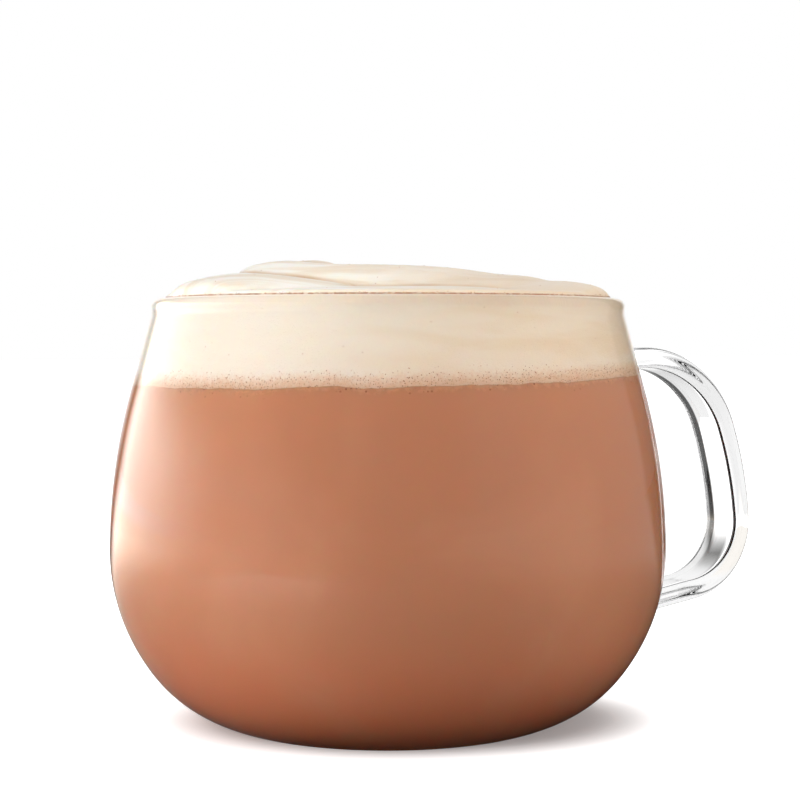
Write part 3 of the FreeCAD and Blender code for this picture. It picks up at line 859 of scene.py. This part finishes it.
def foamMaterial():
    s = foamFinish
    material, tree, shader = newMaterial("milkFroth")
    place = objectPlace(tree)
    way = readAttribute(tree, "foldWay", "Vector")
    crease = readAttribute(tree, "crease")
    height = axesOf(tree, place)["Z"]
    wayAxes = axesOf(tree, way)
    above = wayAxes["Z"]
    streakPlace = addNode(tree, "ShaderNodeMapping", {"Vector": way, "Scale": s["streakScales"]})
    streaks = noiseNode(tree, streakPlace.outputs[0], 1.0, 4.0, 0.5)
    fine = noiseNode(tree, place, s["fineScale"], 2.0)
    heap = rampNode(tree, height, *s["heapHeights"])
    streaky = timesNode(tree, rampNode(tree, streaks, 0.3, 0.66, 0.1, 1.0),
                        rampNode(tree, heap, 0.0, 1.0, s["layerStreaks"], 1.0))
    # painted light and shade: the layer behind the glass runs from pale on the left to tan on the right; the
    # heap takes the middle
    inputs = {0: place, 1: s["rightWay"]}
    rightwards = addNode(tree, "ShaderNodeVectorMath", inputs, operation="DOT_PRODUCT").outputs["Value"]
    sideways = rampNode(tree, rightwards, -0.03, 0.03)
    sideways = mixColour(tree, heap, sideways, (0.5, 0.5, 0.5, 1.0))
    paintedLightCream = mixColour(tree, sideways, s["pale"], s["tan"])
    base = mixColour(tree, streaky, paintedLightCream, s["white"])
    # painted shade: the heap darkens towards its lower end
    paintedShadeEnd = timesNode(tree, rampNode(tree, wayAxes["X"], -12.0, 26.0, 0.0, 1.0), heap)
    base = mixColour(tree, paintedShadeEnd, base, s["shaded"])
    # cocoa stain with painted shade: random tan streaks, and the valleys behind folds
    stainShadeMask = timesNode(tree, rampNode(tree, streaks, 0.5, 0.36, 0.0, 0.12), heap)
    stainShadeMask = mathNode(tree, "MAXIMUM", stainShadeMask, crease)
    base = mixColour(tree, stainShadeMask, base, s["stainShade"])
    rim = mugHigh.z
    tide = timesNode(tree, rampNode(tree, height, rim - 0.0001, rim + 0.0001),
                     rampNode(tree, height, rim + 0.0004, rim + 0.0002),
                     rampNode(tree, fine, 0.3, 0.6, 0.3, 0.9))
    base = mixColour(tree, tide, base, s["tide"])
    ragged = mathNode(tree, "ADD", above, rampNode(tree, fine, 0.3, 0.7, -0.35, 0.35))
    soaked = rampNode(tree, ragged, -0.4, 3.0, 1.0, 0.0)
    base = mixColour(tree, soaked, base, s["edge"])
    dots = specks(tree, s["speckSize"], s["speckShare"])["Mask"]
    nearLine = rampNode(tree, above, *s["speckHeights"], 0.3, 0.03)
    base = mixColour(tree, timesNode(tree, dots, nearLine), base, s["speck"])
    tree.links.new(base, shader.inputs["Base Color"])
    bubbles = specks(tree, s["bubbleSize"], 1.0)["Height"]
    soft = mathNode(tree, "ADD", bubbles, timesNode(tree, fine, 1.2))
    inputs = {"Height": soft, "Strength": s["bump"], "Distance": s["bumpDepth"]}
    bump = addNode(tree, "ShaderNodeBump", inputs)
    tree.links.new(bump.outputs[0], shader.inputs["Normal"])
    tree.links.new(rampNode(tree, streaks, 0.3, 0.7, 0.42, 0.3), shader.inputs["Roughness"])
    setMilky(shader, s)
    return material


bubbleFinish = {
    "skin": colour(168, 112, 78),
    "pale": colour(206, 158, 122),
}


def bubbleMaterial():
    s = bubbleFinish
    material, tree, shader = newMaterial("frothBubble")
    place = objectPlace(tree)
    patches = noiseNode(tree, place, 420.0, 1.0)
    tree.links.new(mixColour(tree, rampNode(tree, patches, 0.4, 0.65), s["skin"], s["pale"]),
                   shader.inputs["Base Color"])
    shader.inputs["Roughness"].default_value = 0.3
    return material


def glassMaterial():
    material, tree, shader = newMaterial("clearMugGlass")
    shader.inputs["Base Color"].default_value = (1.0, 1.0, 1.0, 1.0)
    shader.inputs["Roughness"].default_value = 0.0
    shader.inputs["IOR"].default_value = 1.48
    shader.inputs["Transmission Weight"].default_value = 1.0
    clear = addNode(tree, "ShaderNodeBsdfTransparent")
    mix = addNode(tree, "ShaderNodeMixShader")
    tree.links.new(addNode(tree, "ShaderNodeLightPath").outputs["Is Shadow Ray"], mix.inputs[0])
    tree.links.new(shader.outputs[0], mix.inputs[1])
    tree.links.new(clear.outputs[0], mix.inputs[2])
    tree.links.new(mix.outputs[0], tree.nodes["Material Output"].inputs["Surface"])
    return material


def bubbleTree():
    # small balls over a surface, as thick as its bubbly attribute says
    tree = bpy.data.node_groups.new("frothBubbles", "GeometryNodeTree")
    for name, kind in (("Geometry", "NodeSocketGeometry"), ("Density", "NodeSocketFloat"),
                       ("Smallest", "NodeSocketFloat"), ("Largest", "NodeSocketFloat"),
                       ("Seed", "NodeSocketInt"), ("Material", "NodeSocketMaterial")):
        tree.interface.new_socket(name, in_out="INPUT", socket_type=kind)
    tree.interface.new_socket("Geometry", in_out="OUTPUT", socket_type="NodeSocketGeometry")
    inside = tree.nodes.new("NodeGroupInput").outputs
    out = tree.nodes.new("NodeGroupOutput")
    bubbly = addNode(tree, "GeometryNodeInputNamedAttribute", {"Name": "bubbly"}, data_type="FLOAT")
    density = timesNode(tree, bubbly.outputs[0], inside["Density"])
    points = addNode(tree, "GeometryNodeDistributePointsOnFaces",
                     {"Mesh": inside["Geometry"], "Density": density, "Seed": inside["Seed"]})
    ball = addNode(tree, "GeometryNodeMeshIcoSphere", {"Radius": 1.0, "Subdivisions": 1})
    size = addNode(tree, "FunctionNodeRandomValue", {2: inside["Smallest"], 3: inside["Largest"],
                                                     "Seed": inside["Seed"]}, data_type="FLOAT").outputs[1]
    placed = addNode(tree, "GeometryNodeInstanceOnPoints",
                     {"Points": points.outputs["Points"], "Instance": ball.outputs["Mesh"], "Scale": size})
    real = addNode(tree, "GeometryNodeRealizeInstances", {"Geometry": placed.outputs[0]})
    smooth = addNode(tree, "GeometryNodeSetShadeSmooth", {"Geometry": real.outputs[0]})
    finished = addNode(tree, "GeometryNodeSetMaterial", {"Geometry": smooth.outputs[0],
                                                         "Material": inside["Material"]})
    tree.links.new(finished.outputs[0], out.inputs[0])
    return tree


def makeBubbles(surface, material):
    s = bubbleShape
    piece = newObject("frothBubbles", surface.data.copy())
    modifier = piece.modifiers.new("bubbles", "NODES")
    modifier.node_group = bubbleTree()
    values = {"Density": s["perSquareMetre"], "Smallest": s["smallest"] * mm, "Largest": s["largest"] * mm,
              "Seed": s["seed"], "Material": material}
    for socket in modifier.node_group.interface.items_tree:
        if socket.in_out == "INPUT" and socket.name in values:
            modifier[socket.identifier] = values[socket.name]
    evaluated = piece.evaluated_get(bpy.context.evaluated_depsgraph_get())
    mesh = bpy.data.meshes.new_from_object(evaluated)
    piece.modifiers.remove(modifier)
    piece.data = mesh
    return piece


glassMug = makeMug(glassMaterial())
print("glass mug made", len(glassMug.data.polygons))
mochaDrink = makeDrink(drinkMaterial())
print("drink made", len(mochaDrink.data.polygons))
milkFoam = makeFoam(foamMaterial())
print("froth made", len(milkFoam.data.polygons))
frothBubbles = makeBubbles(milkFoam, bubbleMaterial())
print("bubbles made", len(frothBubbles.data.polygons))

for piece, node, slot in ((glassMug, "glass_mug", "clear_glass"), (mochaDrink, "mocha", "mocha_drink"),
                          (milkFoam, "milk_foam", "foam")):
    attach(piece, "root")
    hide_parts(node)
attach(frothBubbles, "root")


cameraView = {
    "place": (-0.1494, -0.3205, 0.0714),
    "lens": 84.5,
    "down": 1.836,
    "turn": 25.354,  # degrees to the right of straight along +Y
}

cameraData = bpy.data.cameras.new("viewCamera")
cameraData.lens = cameraView["lens"]
viewCamera = newObject("viewCamera", cameraData)
viewCamera.location = cameraView["place"]
viewCamera.rotation_euler = (math.radians(90 - cameraView["down"]), 0, math.radians(-cameraView["turn"]))
bpy.context.scene.camera = viewCamera

stageLook = {
    "floorColour": colour(236, 236, 236),
    "floorDim": colour(46, 46, 46),  # the floor as the glass shows it, outside the white
    "floorGlow": 1.0,  # the floor's own glow where the camera sees it, so lit floor is white
    "shadowWide": 0.0425,  # half the painted shadow's width, across the camera's view
    "shadowDeep": 0.0325,
    "shadowRight": 0.005,  # how far to the right it is centred
    "shadowEdge": (0.76, 1.3),  # shares of that size where it starts to fade, and ends
    "darkFront": 0.01,  # the painted shadow that glass shows on the floor is centred this far towards the camera
    "darkRight": 0.013,  # and this far to its right
    "darkWithin": 0.046,
    "whiteFrom": 0.067,
    "whiteAway": (0.07, 0.5),  # distances from the mug over which each of these changes
    "flagAway": (0.25, 0.13),
    "shineAway": (0.04, 0.5),
    "aroundAway": (0.09, 0.4),
    "tintAway": (1.2, 0.6),
    "ambient": 0.5,  # the surroundings as light on everything that isn't shiny or clear
    "softboxShine": 5.0,  # how bright the left softbox shows in the glass
    "softboxLow": colour(255, 245, 231),  # its tint where shine meets the floor
    "softboxTop": colour(255, 251, 245),  # and where it meets the surroundings
    "softboxUpper": (0.4, 0.05),  # steepness of the look upwards where it fades out, and is full
    "softboxLower": (0.0, 0.2),
    "flagDark": 0.1,  # how bright the dark band on the right shows through the glass
    "studioDark": 0.08,  # the surroundings in shine
    "studioRight": 0.34,  # and their paler part on the right
}

# place, what it points at, power, size, spread in degrees;
# the bounce lamp stands in for light off the floor onto the belly's lower left
lamps = {
    "leftLamp": ((-1.342, 0.03, 0.09), (0, 0, 0.045), 8.9, 0.6, 180),
    "frontLamp": ((-0.568, -1.219, 0.08), (0, 0, 0.045), 14.2, 0.8, 180),
    "rightLamp": ((1.16, -0.46, 0.42), (0, 0, 0.045), 8.8, 0.8, 180),
    "topLamp": ((-0.25, -0.12, 1.33), (0, 0, 0.045), 3.2, 0.7, 180),
    "floorLamp": ((-0.22, -0.08, 0.45), (-0.22, -0.08, 0), 4.0, 0.1, 40),
    "bounceLamp": ((-0.165, 0.03, 0.022), (-0.03, 0, 0.015), 0.05, 0.04, 160),
}


# degrees round the mug, 0 back to the camera, 180 straight behind the mug and left positive:
# where each edge starts, and where it is full
studioArcs = {
    "softboxFaint": (12, 62),
    "softboxBright": (66, 118),
    "softboxEnd": (153, 138),
    "behind": (150, 165),
    "flagFirst": (-168, -152),
    "flagLast": (-60, -85),
    "sideFirst": (-136, -128),
    "sideLast": (-15, -50),
}


def studioGlowGroup():
    # masks of what lies round the mug: softbox, white behind, all but a dark flag, paler right side
    s = studioArcs
    tree = bpy.data.node_groups.new("studioGlow", "ShaderNodeTree")
    tree.interface.new_socket("Way", in_out="INPUT", socket_type="NodeSocketVector")
    for name in ("Softbox", "Behind", "Flag", "Side", "Height"):
        tree.interface.new_socket(name, in_out="OUTPUT", socket_type="NodeSocketFloat")
    inside = tree.nodes.new("NodeGroupInput")
    out = tree.nodes.new("NodeGroupOutput")
    turned = facingCamera(tree, inside.outputs["Way"])
    axes = axesOf(tree, turned)
    radians = mathNode(tree, "ARCTAN2", timesNode(tree, axes["X"], -1.0), timesNode(tree, axes["Y"], -1.0))
    degrees = timesNode(tree, radians, 180 / math.pi)
    box = mathNode(tree, "ADD", rampNode(tree, degrees, *s["softboxFaint"], 0.0, 0.2),
                   rampNode(tree, degrees, *s["softboxBright"], 0.0, 0.8))
    box = timesNode(tree, box, rampNode(tree, degrees, *s["softboxEnd"]))
    tree.links.new(box, out.inputs["Softbox"])
    behind = rampNode(tree, mathNode(tree, "ABSOLUTE", degrees), *s["behind"])
    tree.links.new(behind, out.inputs["Behind"])
    flag = timesNode(tree, rampNode(tree, degrees, *s["flagFirst"]), rampNode(tree, degrees, *s["flagLast"]))
    tree.links.new(mathNode(tree, "SUBTRACT", 1.0, flag), out.inputs["Flag"])
    side = timesNode(tree, rampNode(tree, degrees, *s["sideFirst"]), rampNode(tree, degrees, *s["sideLast"]))
    tree.links.new(side, out.inputs["Side"])
    tree.links.new(axes["Z"], out.inputs["Height"])
    return tree


studioGlow = studioGlowGroup()


def glowAround(tree, way):
    node = tree.nodes.new("ShaderNodeGroup")
    node.node_tree = studioGlow
    tree.links.new(way, node.inputs["Way"])
    return node.outputs


def throughGlass(tree, path):
    # a look through the glass that hasn't met a matt surface yet
    firstLook = mathNode(tree, "LESS_THAN", path["Diffuse Depth"], 0.5)
    return timesNode(tree, path["Is Transmission Ray"], firstLook)


def makeFloor():
    s = stageLook
    mesh = bpy.data.meshes.new("floor")
    mesh.from_pydata([(-6, -6, 0), (6, -6, 0), (6, 6, 0), (-6, 6, 0)], [], [(0, 1, 2, 3)])
    floor = newObject("floor", mesh)
    material, tree, shader = newMaterial("paleFloor")
    shader.inputs["Roughness"].default_value = 0.9
    shader.inputs["Specular IOR Level"].default_value = 0.0
    path = addNode(tree, "ShaderNodeLightPath").outputs
    place = objectPlace(tree)
    away = lengthNode(tree, place)
    glow = glowAround(tree, place)
    through = throughGlass(tree, path)
    turned = facingCamera(tree, place)
    # painted shadow seen through the glass: a dark disc under the mug, where the floor is not white
    darkPlace = (-s["darkRight"], s["darkFront"], 0)
    fromDark = lengthNode(tree, addNode(tree, "ShaderNodeVectorMath", {0: turned, 1: darkPlace}).outputs[0])
    flag = mathNode(tree, "MAXIMUM", glow["Flag"], rampNode(tree, away, *s["flagAway"]))
    white = timesNode(tree, rampNode(tree, fromDark, s["darkWithin"], s["whiteFrom"]), flag,
                      rampNode(tree, away, *s["whiteAway"], 0.85, 1.0))
    dim = timesNode(tree, through, mathNode(tree, "SUBTRACT", 1.0, white))
    dim = mathNode(tree, "MAXIMUM", dim, path["Is Glossy Ray"])
    tree.links.new(mixColour(tree, dim, s["floorColour"], s["floorDim"]), shader.inputs["Base Color"])
    seen = mathNode(tree, "MAXIMUM", path["Is Camera Ray"], timesNode(tree, through, white))
    # painted shadow: the floor's glow fades out in an ellipse round the foot, so only there the floor shows
    # darker
    size = (1 / s["shadowWide"], 1 / s["shadowDeep"], 1.0)
    shadow = addNode(tree, "ShaderNodeMapping", {"Vector": turned, "Scale": size,
                                                 "Location": (-s["shadowRight"] / s["shadowWide"], 0, 0)})
    outward = lengthNode(tree, shadow.outputs[0])
    lift = timesNode(tree, seen, rampNode(tree, outward, *s["shadowEdge"], 0.0, s["floorGlow"]))
    shine = timesNode(tree, glow["Softbox"], s["softboxShine"],
                      rampNode(tree, away, *s["shineAway"], 0.05, 0.7))
    side = timesNode(tree, glow["Side"], s["studioRight"])
    around = timesNode(tree, mathNode(tree, "MAXIMUM", glow["Behind"], side),
                       rampNode(tree, away, *s["aroundAway"], 0.0, 0.95))
    shine = mathNode(tree, "MAXIMUM", shine, around)
    shine = timesNode(tree, shine, path["Is Glossy Ray"])
    tree.links.new(mathNode(tree, "ADD", lift, shine), shader.inputs["Emission Strength"])
    warm = timesNode(tree, path["Is Glossy Ray"], glow["Softbox"], rampNode(tree, away, *s["tintAway"]))
    tint = mixColour(tree, warm, (1, 1, 1, 1), s["softboxLow"])
    tree.links.new(tint, shader.inputs["Emission Color"])
    mesh.materials.append(material)


def makeLamp(name, place, target, power, size, spread):
    data = bpy.data.lights.new(name, "AREA")
    data.shape = "DISK"
    data.size = size
    data.energy = power
    data.spread = math.radians(spread)
    lamp = newObject(name, data)
    lamp.location = place
    lamp.rotation_euler = (Vector(target) - Vector(place)).to_track_quat("-Z", "Y").to_euler()
    lamp.visible_camera = False
    lamp.visible_glossy = False  # its shine is drawn by the surroundings
    lamp.visible_transmission = False


def makeSurroundings():
    # white to the camera and through the glass, the studio's masks in shine, even grey as light
    s = stageLook
    world = bpy.data.worlds.new("whiteStudio")
    bpy.context.scene.world = world
    world.use_nodes = True
    tree = world.node_tree
    background = tree.nodes["Background"]
    path = addNode(tree, "ShaderNodeLightPath").outputs
    glow = glowAround(tree, addNode(tree, "ShaderNodeTexCoord").outputs["Generated"])
    tall = timesNode(tree, rampNode(tree, glow["Height"], *s["softboxUpper"]),
                     rampNode(tree, glow["Height"], *s["softboxLower"], 0.72, 1.0))
    box = timesNode(tree, glow["Softbox"], tall, s["softboxShine"])
    dark = rampNode(tree, glow["Side"], 0.0, 1.0, s["studioDark"], s["studioRight"])
    behind = mathNode(tree, "MAXIMUM", dark, glow["Behind"])
    glossy = mathNode(tree, "MAXIMUM", behind, box)
    through = throughGlass(tree, path)
    seen = mathNode(tree, "MAXIMUM", path["Is Camera Ray"], through)
    strength = mixValue(tree, path["Is Glossy Ray"], s["ambient"], glossy)
    white = rampNode(tree, glow["Flag"], 0.0, 1.0, s["flagDark"], 1.0)
    white = mathNode(tree, "MAXIMUM", path["Is Camera Ray"], white)
    strength = mixValue(tree, seen, strength, white)
    tree.links.new(strength, background.inputs["Strength"])
    warm = timesNode(tree, path["Is Glossy Ray"], glow["Softbox"])
    tree.links.new(mixColour(tree, warm, (1, 1, 1, 1), s["softboxTop"]), background.inputs["Color"])


makeFloor()
for lampName, lampValues in lamps.items():
    makeLamp(lampName, *lampValues)
makeSurroundings()
bpy.context.scene.view_settings.view_transform = "Standard"
print("stage set")
